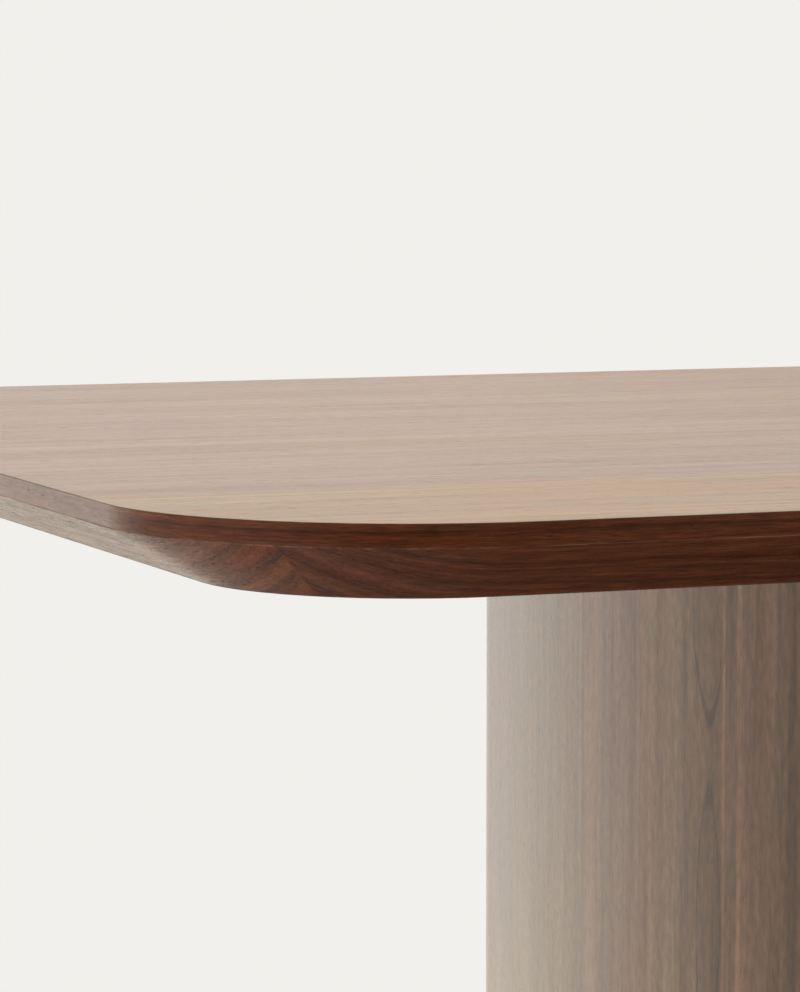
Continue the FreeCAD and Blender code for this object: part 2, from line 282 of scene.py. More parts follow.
def dress(piece, material, slot, *nodes):
    """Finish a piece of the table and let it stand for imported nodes."""
    if not piece.data.materials:
        piece.data.materials.append(material)
    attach(piece, "table")
    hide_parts(*nodes)


# Node building

def add(tree, kind, inputs, **settings):
    """Add a node; each input takes a value or another node's output."""
    node = tree.nodes.new("ShaderNode" + kind)
    for name, value in settings.items():
        setattr(node, name, value)
    for socket, value in inputs.items():
        if isinstance(value, bpy.types.NodeSocket):
            tree.links.new(value, node.inputs[socket])
        else:
            node.inputs[socket].default_value = value
    return node


def reckon(tree, operation, first, second=0.0, third=0.0):
    """One step of arithmetic."""
    return add(tree, "Math", {0: first, 1: second, 2: third}, operation=operation).outputs[0]


def total(tree, first, second):
    """Two values added."""
    return reckon(tree, "ADD", first, second)


def difference(tree, first, second):
    """One value less another."""
    return reckon(tree, "SUBTRACT", first, second)


def product(tree, first, second):
    """Two values multiplied."""
    return reckon(tree, "MULTIPLY", first, second)


def larger(tree, first, second):
    """The larger of two values."""
    return reckon(tree, "MAXIMUM", first, second)


def stretch(tree, place, sizes):
    """Place counted in steps of the given sizes, one for each way."""
    steps = [1 / size for size in sizes]
    return add(tree, "VectorMath", {0: place, 1: steps}, operation="MULTIPLY").outputs[0]


def cloud(tree, place, sizes, detail, rough=0.5):
    """Soft random variation, with the size of its patches along, across and through the grain."""
    inputs = {"Vector": stretch(tree, place, sizes), "Scale": 1.0, "Detail": detail, "Roughness": rough}
    return add(tree, "TexNoise", inputs).outputs["Fac"]


def ease(tree, value, low, high, to_low=0.0, to_high=1.0):
    """Smooth step of a value from one level to another."""
    inputs = {"Value": value, "From Min": low, "From Max": high, "To Min": to_low, "To Max": to_high}
    return add(tree, "MapRange", inputs, interpolation_type="SMOOTHSTEP").outputs[0]


def blend(tree, share, first, second, how="MIX"):
    """Mix of two colours."""
    mix = add(tree, "Mix", {0: share, 6: first, 7: second}, data_type="RGBA", blend_type=how)
    return mix.outputs[2]


def ramp(tree, value, stops):
    """Colours along a value."""
    node = add(tree, "ValToRGB", {0: value})
    points = node.color_ramp.elements
    while len(points) < len(stops):
        points.new(0.5)
    for point, (position, colour) in zip(points, stops):
        point.position = position
        point.color = (*colour, 1.0)
    return node.outputs[0]


def two_tone(tree, value, colours, low=0.3, high=0.7):
    """From a darker to a lighter colour along a value."""
    return ramp(tree, value, ((low, colours[0]), (high, colours[1])))


def darken(tree, share, colour, shade):
    """Multiply a colour by a shade as far as a share goes."""
    return blend(tree, 1.0, colour, blend(tree, share, white, shade), "MULTIPLY")


def new_material(name):
    """Plain material with its tree and its shader."""
    material = bpy.data.materials.new(name)
    material.use_nodes = True
    tree = material.node_tree
    return material, tree, tree.nodes["Principled BSDF"]


def bump(tree, shader, height, strength, distance):
    """Let a height show as relief."""
    relief = add(tree, "Bump", {"Height": height, "Strength": strength, "Distance": distance})
    tree.links.new(relief.outputs[0], shader.inputs["Normal"])


# Walnut

# Shades from the darkest to the lightest wood, as shares of a finish's mean colour
wood_shades = ((0.40, 0.37, 0.38), (0.68, 0.66, 0.66), (1.0, 1.0, 1.0), (1.26, 1.32, 1.40),
               (1.55, 1.72, 1.95))
late_wood_shade = (0.42, 0.37, 0.36, 1.0)
fibre_shade = (0.50, 0.47, 0.45, 1.0)
pore_colour = (0.022, 0.0110, 0.0080, 1.0)

# From one leaf's wood to the next, in metres of trunk and in years
leaf_step = 7.3
year_step = 31.0

# How far the tree's middle sways and quivers, and how long, wide and deep the patches are that do it
sway_patch = (0.45, 0.10, 0.1)
sway_reach = 0.010
quiver_patch = (0.05, 0.02, 0.05)
quiver_reach = 0.0010
swing_levels = (0.2, 0.8)

# How much faster a crown rises along its run, and the place before which it rises no more
crown_lean = 6.5
crown_foot = -0.131

# Bands of growth, and the broken dark lines that lie a few years apart
band_scale = 0.8
line_rate = 0.41
line_start = (0.76, 0.95)
line_stop = (1.0, 0.96)
line_patch = (0.30, 0.02, 0.1)
line_levels = (0.42, 0.66)

# The dark heart, and the uneven line round it
heart_blur = 0.0020
heart_depth = 0.35
rim_reach = (0.0009, 0.0002)
rim_patch = (0.05, 0.02, 0.1)
rim_levels = (0.30, 0.55)
rim_least = 0.4

# Levels of a random pattern between which fibres, pores, patches and streaks come in
fibre_levels = (0.62, 0.30)
pore_levels = (0.63, 0.73)
early_wood_levels = (0.62, 0.36)
pore_least = 0.35
patch_levels = (0.3, 0.7)
streak_levels = (0.35, 0.65)
tone_reach = 0.15

# Patches of tint, which also make the wood richer or greyer, and the soft edge of a pale streak
tint_growth = 1.3
richness_levels = (0.6, 0.3)
richness_range = (0.975, 1.025)
streak_edge = (1.25, 0.6)

# Satin lacquer, and how much duller it is on dark streaks, on fibres and in pores
lacquer_index = 1.5
coat_roughness = 0.22
streak_dullness = 0.03
fibre_dullness = (0.04, -0.02)
pore_dullness = 0.4
fibre_height = 0.5
relief_strength = 0.20
relief_depth = 0.0001


def grain_place(tree, way):
    """Place in metres along, across and through the grain."""
    source = add(tree, "TexCoord", {})
    if way in ("along table", "across table"):
        x, y, z = add(tree, "SeparateXYZ", {0: source.outputs["Object"]}).outputs
        along, across = (x, y) if way == "along table" else (y, x)
        return add(tree, "CombineXYZ", {0: along, 1: across, 2: z}).outputs[0]
    u, v, _ = add(tree, "SeparateXYZ", {0: source.outputs["UV"]}).outputs
    return add(tree, "CombineXYZ", {0: u, 1: v}).outputs[0]


def leaf_numbers(tree, name, leaf):
    """Three numbers of a leaf: given here, or carried by the piece under a name."""
    if leaf:
        stored = add(tree, "CombineXYZ", dict(enumerate(leaf[name]))).outputs[0]
    else:
        stored = add(tree, "Attribute", {}, attribute_name=name).outputs["Vector"]
    return add(tree, "SeparateXYZ", {0: stored}).outputs


def swing(tree, value, reach):
    """Random value turned into a swing to either side."""
    return ease(tree, value, *swing_levels, -reach, reach)


def tree_reach(tree, place, wood, pith, slope, curve, figure):
    """Distance from the tree's middle, which bends, tapers and rises to a crown, and the quiver in it."""
    along, across, depth = add(tree, "SeparateXYZ", {0: place}).outputs
    pith_across, pith_depth, pith_along = pith
    sway = swing(tree, cloud(tree, wood, sway_patch, 1.0), sway_reach * figure)
    quiver = swing(tree, cloud(tree, wood, quiver_patch, 2.0), quiver_reach * figure)
    aside = difference(tree, total(tree, across, total(tree, sway, quiver)), pith_across)
    run = difference(tree, along, pith_along)
    crown = larger(tree, run, crown_foot)
    lean = reckon(tree, "MULTIPLY_ADD", crown, crown_lean, 1.0)
    crown = product(tree, lean, product(tree, crown, crown))
    rise = difference(tree, product(tree, slope, run), product(tree, curve, crown))
    drop = larger(tree, total(tree, difference(tree, pith_depth, depth), rise), 0.0)
    squares = total(tree, product(tree, aside, aside), product(tree, drop, drop))
    return reckon(tree, "POWER", squares, 0.5), quiver


def growth(tree, wood, reach, ring, seed):
    """Years of growth: uneven bands, and broken dark lines a few years apart."""
    years = reckon(tree, "DIVIDE", reach, ring)
    inputs = {"W": total(tree, years, product(tree, seed, year_step)), "Scale": band_scale,
              "Detail": 3.0, "Roughness": 0.6}
    bands = add(tree, "TexNoise", inputs, noise_dimensions="1D").outputs["Fac"]
    phase = reckon(tree, "FRACT", product(tree, years, line_rate))
    line = product(tree, ease(tree, phase, *line_start), ease(tree, phase, *line_stop))
    line = product(tree, line, ease(tree, cloud(tree, wood, line_patch, 1.0), *line_levels))
    return bands, line


def dark_heart(tree, wood, reach, heart):
    """The darker heart inside one ring, and the uneven line round it."""
    within = difference(tree, heart, reach)
    inside = ease(tree, within, 0.0, heart_blur)
    rim = ease(tree, reckon(tree, "ABSOLUTE", within), *rim_reach)
    uneven = ease(tree, cloud(tree, wood, rim_patch, 1.0), *rim_levels, rim_least, 1.0)
    return inside, product(tree, rim, uneven)


def walnut(name, way, mean, grain, ring, sheen, figure=1.0, contrast=1.0, gloss=0.28, level=0.5,
           coat=0.0, glow=(1.0, 0.75, 0.5), spread=0.5, leaf=None):
    """Lacquered walnut: rings, streaks, fibres and pores that follow the grain."""
    material, tree, shader = new_material(name)
    place = grain_place(tree, way)
    pith = leaf_numbers(tree, "pith", leaf)
    slope, curve, seed = leaf_numbers(tree, "taper", leaf)
    lightness, warmth, heart = leaf_numbers(tree, "tone", leaf)
    streak_place, streak_reach, streak_gain = leaf_numbers(tree, "streak", leaf)
    richness, _, _ = leaf_numbers(tree, "richness", leaf)

    # Each leaf is cut from another part of the tree
    shift = add(tree, "CombineXYZ", {2: product(tree, seed, leaf_step)}).outputs[0]
    wood = add(tree, "VectorMath", {0: place, 1: shift}, operation="ADD").outputs[0]
    reach, quiver = tree_reach(tree, place, wood, pith, slope, curve, figure)
    bands, line = growth(tree, wood, reach, ring, seed)
    inside, rim = dark_heart(tree, wood, reach, heart)

    # Streaks, cloudy figure, fibres and pores
    streaks = cloud(tree, wood, grain["streaks"], 4.0, 0.62)
    broad = cloud(tree, wood, grain["broad"], 2.0)
    mottle = cloud(tree, wood, grain["mottle"], 3.0)
    tint = cloud(tree, wood, [tint_growth * size for size in grain["broad"]], 2.0)
    fibres = cloud(tree, wood, grain["fibres"], 2.0, 0.6)
    pores = ease(tree, cloud(tree, wood, grain["pores"], 1.0), *pore_levels)
    pores = product(tree, pores, ease(tree, bands, *early_wood_levels, pore_least, 1.0))

    # Colour of the wood, darker in lines, heart, fibres and pores
    mixed = 0.0
    for part, share in zip((bands, streaks, broad), grain["shares"]):
        mixed = total(tree, mixed, product(tree, part, share))
    tone = ease(tree, mixed, 0.5 - tone_reach / contrast, 0.5 + tone_reach / contrast)
    stops = []
    for step, shade in enumerate(wood_shades):
        stops.append((step / (len(wood_shades) - 1), [part * share for part, share in zip(mean, shade)]))
    dark = larger(tree, product(tree, line, grain["lines"]), rim)
    dark = larger(tree, dark, product(tree, inside, heart_depth))
    colour = darken(tree, dark, ramp(tree, tone, stops), late_wood_shade)
    dark = ease(tree, fibres, *fibre_levels, 0.0, grain["fibre_depth"])
    colour = darken(tree, dark, colour, fibre_shade)
    colour = blend(tree, product(tree, pores, grain["pore_depth"]), colour, pore_colour)

    # Each leaf's own lightness, warmth and richness, with its pale streak
    _, across, _ = add(tree, "SeparateXYZ", {0: place}).outputs
    beside = reckon(tree, "ABSOLUTE", difference(tree, total(tree, across, quiver), streak_place))
    streak = ease(tree, reckon(tree, "DIVIDE", beside, streak_reach), *streak_edge)
    value = total(tree, lightness, product(tree, streak, streak_gain))
    patchy = grain["mottle_depth"]
    value = product(tree, value, ease(tree, mottle, *patch_levels, 1.0 - patchy, 1.0 + patchy))
    hue = total(tree, warmth, ease(tree, tint, *patch_levels, 0.5 - grain["hue"], 0.5 + grain["hue"]))
    rich = product(tree, richness, ease(tree, tint, *richness_levels, *richness_range))
    leaf_tone = {"Hue": hue, "Saturation": rich, "Value": value, "Color": colour}
    colour = add(tree, "HueSaturation", leaf_tone).outputs[0]
    tree.links.new(colour, shader.inputs["Base Color"])

    # Satin lacquer that has sunk into the pores and lies duller on dark streaks
    dull = total(tree, ease(tree, streaks, *streak_levels, gloss + streak_dullness, gloss - streak_dullness),
                 ease(tree, fibres, *patch_levels, *fibre_dullness))
    tree.links.new(total(tree, dull, product(tree, pores, pore_dullness)), shader.inputs["Roughness"])
    shader.inputs["IOR"].default_value = lacquer_index
    shader.inputs["Specular IOR Level"].default_value = level
    shader.inputs["Coat Weight"].default_value = coat
    shader.inputs["Coat Roughness"].default_value = coat_roughness
    shader.inputs["Sheen Weight"].default_value = sheen
    shader.inputs["Sheen Roughness"].default_value = spread
    shade = add(tree, "VectorMath", {0: colour, 1: mean}, operation="DIVIDE").outputs[0]
    shade = add(tree, "VectorMath", {0: shade, 1: glow}, operation="MULTIPLY").outputs[0]
    tree.links.new(shade, shader.inputs["Sheen Tint"])
    height = difference(tree, product(tree, fibres, fibre_height), pores)
    bump(tree, shader, height, relief_strength, relief_depth)
    return material


# Other materials

# The darker and the lighter colour of each
veneer_edge_colours = ((0.060, 0.025, 0.012), (0.180, 0.075, 0.038))
fibreboard_colours = ((0.20, 0.115, 0.055), (0.36, 0.235, 0.125))
ply_face_colours = ((0.50, 0.345, 0.190), (0.68, 0.505, 0.310))
ply_end_colours = ((0.30, 0.180, 0.090), (0.47, 0.305, 0.165))
ply_glue_colour = (0.16, 0.085, 0.040, 1.0)
beech_colours = ((0.42, 0.235, 0.115), (0.60, 0.375, 0.205))
beech_fleck_colour = (0.20, 0.095, 0.045, 1.0)
steel_colours = ((0.014, 0.014, 0.015), (0.024, 0.024, 0.026))
zinc_colours = ((0.52, 0.53, 0.55), (0.68, 0.67, 0.62))
nylon_colours = ((0.011, 0.010, 0.009), (0.019, 0.017, 0.016))

# Height of a pair of plies in metres, and how strongly glue lines, matted fibres and patches show
ply_pair = 0.0028
glue_strength = 0.6
matted_share = 0.7
patches_share = 0.3


def veneer_edge_material():
    """Sanded edge of the face veneer: dark end fibres."""
    material, tree, shader = new_material("walnut_veneer_edge")
    place = add(tree, "TexCoord", {}).outputs["Object"]
    fibres = cloud(tree, place, (0.006, 0.006, 0.0004), 3.0)
    tree.links.new(two_tone(tree, fibres, veneer_edge_colours), shader.inputs["Base Color"])
    shader.inputs["Roughness"].default_value = 0.7
    return material


def fibreboard_material():
    """Raw fibreboard: fine matted fibres with darker specks."""
    material, tree, shader = new_material("fibreboard_raw")
    place = add(tree, "TexCoord", {}).outputs["Object"]
    matted = cloud(tree, place, (0.0035, 0.0035, 0.0012), 4.0, 0.7)
    patches = cloud(tree, place, (0.06, 0.06, 0.02), 2.0)
    mixed = total(tree, product(tree, matted, matted_share), product(tree, patches, patches_share))
    tree.links.new(two_tone(tree, mixed, fibreboard_colours, 0.25, 0.75), shader.inputs["Base Color"])
    shader.inputs["Roughness"].default_value = 0.85
    bump(tree, shader, matted, 0.3, 0.0002)
    return material


def plywood_material():
    """Birch plywood: pale face, with its plies and glue lines on the upright edges."""
    material, tree, shader = new_material("birch_plywood")
    place = add(tree, "TexCoord", {}).outputs["Object"]
    height = add(tree, "SeparateXYZ", {0: place}).outputs[2]
    ply = reckon(tree, "FRACT", reckon(tree, "DIVIDE", height, ply_pair))
    end_grain = product(tree, ease(tree, ply, 0.46, 0.52), ease(tree, ply, 1.0, 0.95))
    glue = total(tree, ease(tree, ply, 0.06, 0.0), ease(tree, ply, 0.94, 1.0))
    fibres = cloud(tree, place, (0.04, 0.0012, 0.0012), 3.0, 0.6)
    pale = two_tone(tree, fibres, ply_face_colours)
    dark = two_tone(tree, cloud(tree, place, (0.0012, 0.0012, 0.0012), 2.0), ply_end_colours)
    upright = add(tree, "SeparateXYZ", {0: add(tree, "NewGeometry", {}).outputs["Normal"]}).outputs[2]
    edge = ease(tree, reckon(tree, "ABSOLUTE", upright), 0.9, 0.5)
    colour = blend(tree, product(tree, edge, end_grain), pale, dark)
    colour = blend(tree, product(tree, edge, product(tree, glue, glue_strength)), colour, ply_glue_colour)
    tree.links.new(colour, shader.inputs["Base Color"])
    shader.inputs["Roughness"].default_value = 0.62
    bump(tree, shader, fibres, 0.15, 0.0001)
    return material


def beech_material():
    """Planed beech with its short dark flecks."""
    material, tree, shader = new_material("beech_planed")
    x, y, z = add(tree, "SeparateXYZ", {0: add(tree, "TexCoord", {}).outputs["Object"]}).outputs
    place = add(tree, "CombineXYZ", {0: z, 1: y, 2: x}).outputs[0]
    grain = cloud(tree, place, (0.20, 0.004, 0.004), 3.0)
    flecks = ease(tree, cloud(tree, place, (0.004, 0.0006, 0.0006), 1.0), 0.62, 0.72, 0.0, 0.6)
    colour = blend(tree, flecks, two_tone(tree, grain, beech_colours), beech_fleck_colour)
    tree.links.new(colour, shader.inputs["Base Color"])
    shader.inputs["Roughness"].default_value = 0.55
    return material


def steel_material():
    """Black powder-coated steel with a fine orange peel."""
    material, tree, shader = new_material("steel_black_coat")
    place = add(tree, "TexCoord", {}).outputs["Object"]
    peel = cloud(tree, place, (0.0011, 0.0011, 0.0011), 2.0)
    tree.links.new(two_tone(tree, peel, steel_colours), shader.inputs["Base Color"])
    shader.inputs["Roughness"].default_value = 0.48
    bump(tree, shader, peel, 0.4, 0.0001)
    return material


def zinc_material():
    """Bright zinc plating with a slightly cloudy passivation."""
    material, tree, shader = new_material("zinc_plating")
    place = add(tree, "TexCoord", {}).outputs["Object"]
    haze = cloud(tree, place, (0.006, 0.006, 0.006), 3.0)
    tree.links.new(two_tone(tree, haze, zinc_colours), shader.inputs["Base Color"])
    tree.links.new(ease(tree, haze, *patch_levels, 0.24, 0.38), shader.inputs["Roughness"])
    shader.inputs["Metallic"].default_value = 1.0
    return material


def nylon_material():
    """Moulded dark nylon with a fine spark-eroded grain."""
    material, tree, shader = new_material("nylon_moulded")
    place = add(tree, "TexCoord", {}).outputs["Object"]
    grain = cloud(tree, place, (0.0006, 0.0006, 0.0006), 2.0)
    tree.links.new(two_tone(tree, grain, nylon_colours), shader.inputs["Base Color"])
    shader.inputs["Roughness"].default_value = 0.5
    bump(tree, shader, grain, 0.3, 0.00005)
    return material


# The top

def outline(name, inset, level):
    """Flat rounded rectangle a distance inside the edge of the top, left open for editing."""
    deselect()
    bpy.ops.mesh.primitive_plane_add(size=1, calc_uvs=False, location=(0, 0, level))
    piece = named(name)
    piece.scale = (2 * (half_length - inset), 2 * (half_width - inset), 1)
    settle()
    edit(piece)
    bpy.ops.mesh.bevel(offset=corner_radius - inset, offset_type="OFFSET", segments=corner_steps,
                       affect="VERTICES")
    return piece


def raise_by(distance):
    """Extrude what is selected straight up or down."""
    bpy.ops.mesh.extrude_region_move(TRANSFORM_OT_translate={"value": (0, 0, distance)})


def outer_edges(level):
    """Test for edges on the outline of the top at one level."""
    def on_outline(point):
        if abs(point.z - level) > level_gap:
            return False
        past_x = abs(point.x) - (half_length - corner_radius)
        past_y = abs(point.y) - (half_width - corner_radius)
        if past_x > 0 and past_y > 0:
            return math.hypot(past_x, past_y) > corner_radius - outline_gap
        return abs(point.x) > half_length - outline_gap or abs(point.y) > half_width - outline_gap
    return lambda a, b: on_outline(a) and on_outline(b)


def edge_run(point):
    """Distance round the edge of the top from the middle of its side, and the height."""
    straight = half_length - corner_radius
    past_x = abs(point.x) - straight
    past_y = abs(point.y) - (half_width - corner_radius)
    if past_x <= 0:
        distance = abs(point.x)
    elif past_y <= 0:
        distance = straight + corner_radius * math.pi / 2 - past_y
    else:
        distance = straight + corner_radius * math.atan2(past_x, past_y)
    return math.copysign(distance, point.x), point.z


def face_leaves(material, edge_material, leaves):
    """Veneer leaves of the upper face, side by side along the table."""
    sheet = outline("face_sheet", 0, veneer_level)
    raise_by(table_height - veneer_level)
    select_edges(sheet, outer_edges(table_height))
    bpy.ops.mesh.bevel(offset=arris_round, segments=arris_steps, affect="EDGES")
    close()
    turn_out(sheet)
    near = -half_width
    for number, (share, leaf) in enumerate(zip(top_leaf_shares, leaves), 1):
        far = near + share * 2 * half_width
        piece = copy_of(sheet, "top_face_leaf_%d" % number)
        if number > 1:
            cut_away(piece, (0, near, 0), (0, -1, 0))
        if number < len(top_leaf_shares):
            cut_away(piece, (0, far, 0), (0, 1, 0))
        smooth(piece, sharp_arris)
        middle = (near + far) / 2
        across, depth, along = leaf["pith"]
        streak, reach, gain = leaf["streak"]
        pith = (middle + across, depth, along)
        write_leaf(piece, dict(leaf, pith=pith, streak=(middle + streak, reach, gain)))
        piece.data.materials.append(material)
        piece.data.materials.append(edge_material)
        for side in piece.data.polygons:
            side.material_index = 1 if abs(side.normal.z) < upright_rise else 0
        dress(piece, material, "walnut_top_veneer", "top_face_veneer")
        near = far
    discard(sheet)


def edge_bands(material, leaves):
    """Bent walnut bands round the front and the back half of the upper board."""
    ring = outline("edge_ring", 0, crest_level)
    bpy.ops.mesh.inset(thickness=band_thickness)
    bpy.ops.mesh.delete(type="FACE")
    bpy.ops.mesh.select_all(action="SELECT")
    raise_by(veneer_level - crest_level)
    close()
    turn_out(ring)
    for side, towards, leaf in (("front", 1, leaves[0]), ("back", -1, leaves[1])):
        piece = copy_of(ring, "top_band_" + side)
        cut_away(piece, (0, 0, 0), (0, towards, 0))
        smooth(piece)
        write_map(piece, edge_run)
        write_leaf(piece, leaf)
        dress(piece, material, "walnut_edge", "top_edge_band_" + side)
    discard(ring)


def lippings(material_along, material_across, crest_highlight_along, crest_highlight_across, leaves):
    """Mitred solid lippings with the bevel that runs in under the top, and a crest whose lighter colour is a
    painted highlight.
    """
    block = outline("lipping_block", 0, crest_level)
    bpy.ops.mesh.flip_normals()
    raise_by(-crest_wall)
    depth = crest_level - crest_wall - block_underside
    share = (crest_level - block_underside) / (crest_level - top_underside)
    bpy.ops.mesh.inset(thickness=bevel_inset * share, depth=depth)
    select_edges(block, outer_edges(crest_level - crest_wall))
    bpy.ops.mesh.bevel(offset=crest_round, segments=crest_steps, affect="EDGES")
    close()
    turn_out(block)
    tongues = solid_copy("top_board_tongues")
    splines = solid_copy("top_mitre_splines")
    inner_x = half_length - lipping_width
    inner_y = half_width - lipping_width
    sides = (("front", True, -1), ("back", True, 1), ("left", False, -1), ("right", False, 1))
    for side, along, sign in sides:
        piece = copy_of(block, "top_lipping_piece_" + side)
        inwards = Vector((0, -sign, 0)) if along else Vector((-sign, 0, 0))
        cut_away(piece, (sign * inner_x, sign * inner_y, 0), inwards)
        for end in (-1, 1):
            if along:
                cut_away(piece, (end * inner_x, sign * inner_y, 0), (end, -sign, 0))
            else:
                cut_away(piece, (sign * inner_x, end * inner_y, 0), (-sign, end, 0))
        carve(piece, tongues)
        carve(piece, splines)
        smooth(piece)
        write_leaf(piece, leaves[side])
        piece.data.materials.append(material_along if along else material_across)
        piece.data.materials.append(crest_highlight_along if along else crest_highlight_across)
        # Facets on the crest take the lighter material, whose colour paints the highlight along the rounded
        # crest
        for facet in piece.data.polygons:
            high = facet.center.z > crest_level - 2 * crest_wall
            on_crest = high and abs(facet.normal.z) < crest_rise
            facet.material_index = 1 if on_crest else 0
        dress(piece, material_along, "walnut_edge", "top_lipping_" + side)
    discard(block, tongues, splines)


# The pedestals

def corner_centre():
    """Centre of a corner arc that runs smoothly into a face and an end."""
    face_x = pedestal_depth / 2 - face_radius
    end_y = pedestal_width / 2 - end_radius
    to_face = face_radius - pedestal_corner
    to_end = end_radius - pedestal_corner
    apart = math.hypot(face_x, end_y)
    along = (to_face ** 2 - to_end ** 2 + apart ** 2) / (2 * apart)
    aside = math.sqrt(to_face ** 2 - along ** 2)
    step_x = -face_x / apart
    step_y = end_y / apart
    return face_x + along * step_x - aside * step_y, along * step_y + aside * step_x


def plan_arcs():
    """Arcs once round the pedestal, as centre, radius, start and end angle, from the outer face's middle."""
    centre_x, centre_y = corner_centre()
    face_x = pedestal_depth / 2 - face_radius
    end_y = pedestal_width / 2 - end_radius
    face_turn = math.atan2(centre_y, centre_x - face_x)
    end_turn = math.atan2(centre_y - end_y, centre_x)
    half = math.pi
    full = 2 * math.pi
    return (
        (face_x, 0, face_radius, 0, face_turn),
        (centre_x, centre_y, pedestal_corner, face_turn, end_turn),
        (0, end_y, end_radius, end_turn, half - end_turn),
        (-centre_x, centre_y, pedestal_corner, half - end_turn, half - face_turn),
        (-face_x, 0, face_radius, half - face_turn, half + face_turn),
        (-centre_x, -centre_y, pedestal_corner, half + face_turn, half + end_turn),
        (0, -end_y, end_radius, half + end_turn, full - end_turn),
        (centre_x, -centre_y, pedestal_corner, full - end_turn, full - face_turn),
        (face_x, 0, face_radius, full - face_turn, full),
    )


arcs_round = plan_arcs()
girth = sum(radius * (stop - start) for _, _, radius, start, stop in arcs_round)


def arcs_between(begin, end):
    """Arcs between two distances round the outside, which may run on into later laps."""
    found = []
    passed = 0
    for x, y, radius, start, stop in arcs_round * laps_counted:
        length = radius * (stop - start)
        first = max(begin, passed)
        last = min(end, passed + length)
        if last - first > curve_error:
            found.append((x, y, radius, start + (first - passed) / radius, start + (last - passed) / radius))
        passed += length
    return found


def place_round(point):
    """Distance round the pedestal of a point near its surface."""
    passed = 0
    for x, y, radius, start, stop in arcs_round:
        angle = math.atan2(point.y - y, point.x - x) % (2 * math.pi)
        if start - angle_gap <= angle <= stop + angle_gap:
            depth = radius - math.hypot(point.x - x, point.y - y)
            if abs(depth) < 2 * shell_thickness:
                return passed + radius * (angle - start)
        passed += radius * (stop - start)
    return 0


def wall_strip(name, begin, end, outer_depth, inner_depth, low, high):
    """Part of a wall that follows the plan: its end section, spun round each arc in turn."""
    arcs = arcs_between(begin, end)
    x, y, radius, first, _ = arcs[0]
    middle = radius - (outer_depth + inner_depth) / 2
    start = (x + middle * math.cos(first), y + middle * math.sin(first), (low + high) / 2)
    deselect()
    bpy.ops.mesh.primitive_plane_add(size=1, calc_uvs=False, location=start, rotation=(math.pi / 2, 0, first))
    piece = named(name)
    piece.scale = (inner_depth - outer_depth, high - low, 1)
    settle()
    edit(piece)
    for x, y, radius, first, last in arcs:
        step = 2 * math.acos(1 - curve_error / radius)
        bpy.ops.mesh.spin(steps=max(1, math.ceil((last - first) / step)), angle=first - last,
                          center=(x, y, 0), axis=(0, 0, 1))
    close()
    turn_out(piece)
    return piece


def stand_under(piece, sign):
    """Move a pedestal's piece from the origin to its place; the left pedestal is turned round."""
    pick(piece)
    piece.location = (sign * pedestal_place, 0, 0)
    piece.rotation_euler = (0, 0, 0 if sign > 0 else math.pi)
    settle()


def leg_leaves(material, leaves):
    """Upright veneer leaves round both pedestals."""
    begin = (1 + leg_first_joint_share) * girth
    for number, share in enumerate(leg_leaf_shares):
        end = begin + share * girth
        strip = wall_strip("leg_leaf", begin, end, 0, veneer_thickness, pedestal_foot, top_underside)
        smooth(strip)
        middle = (begin + end) / 2

        def leaf_map(point):
            """Height and distance from the leaf's middle, the same on every leaf."""
            distance = place_round(point)
            lap = round((distance - middle) / girth)
            return point.z, distance - middle - lap * girth

        write_map(strip, leaf_map)
        for side, sign in (("left", -1), ("right", 1)):
            piece = copy_of(strip, "%s_leg_leaf_%02d" % (side, number + 1))
            write_leaf(piece, leaves[side][number])
            stand_under(piece, sign)
            dress(piece, material, "walnut_leg_veneer", side + "_veneer")
        discard(strip)
        begin = end


# Leaves, listed one by one: where the tree's middle lay (across, deep, along), how it ran (slope, curve,
# number of the leaf), how light, warm and rich the wood is, the size of its dark heart, and a pale
# streak's place, half width and strength

def leaf(pith, slope, number, lightness=1.0, warmth=0.0, curve=0.0, heart=0.0, streak=(0.0, 0.01, 0.0),
         rich=1.0):
    """One leaf's wood."""
    return {"pith": pith, "taper": (slope, curve, number), "tone": (lightness, warmth, heart),
            "streak": streak, "richness": (rich, 0.0, 0.0)}


top_leaves = (
    leaf((0.150, 0.030, 0.0), 0.010, 1.0, 1.02, 0.002, streak=(0.082, 0.006, 0.30), rich=1.06),
    leaf((-0.120, 0.040, 0.0), 0.012, 2.0, 0.92, -0.003, streak=(0.070, 0.010, 0.12)),
    leaf((0.010, 0.020, 0.3), 0.0, 3.0, 1.02, 0.001, curve=0.06),
    leaf((0.140, 0.030, 0.0), 0.010, 4.0, 0.95, -0.002, streak=(-0.070, 0.010, 0.10)),
    leaf((-0.010, 0.022, -0.2), 0.0, 5.0, 1.03, 0.002, curve=0.05),
    leaf((-0.150, 0.030, 0.0), 0.010, 6.0, 0.98, 0.0),
)
band_leaves = (
    leaf((0.80, 0.05, 0.0), 0.001, 11.0),
    leaf((0.80, 0.05, 0.0), 0.001, 12.0),
)
lipping_leaves = {
    "front": leaf((-0.62, 0.72, 0.0), 0.0, 21.0),
    "back": leaf((0.62, 0.72, 0.0), 0.0, 22.0),
    # The left lipping is painted lighter: this stands for the stronger light that falls on the left end
    "left": leaf((-1.12, 0.72, 0.0), 0.0, 23.0, 1.35),
    "right": leaf((1.12, 0.72, 0.0), 0.0, 24.0),
}
plain_wood = leaf((0.9, 0.05, 0.0), 0.0, 31.0)


# Leaves round a pedestal: how their lightness and warmth go up and down, and the wood of most of them
lightness_swing = 0.12
lightness_step = 2.4
warmth_swing = 0.006
warmth_step = 1.7
crown_every = 4
crown_first = 2
crown_pith = (0.008, 0.019, 0.20)
quarter_across = 0.13
quarter_depth = 0.03
quarter_along = 0.35


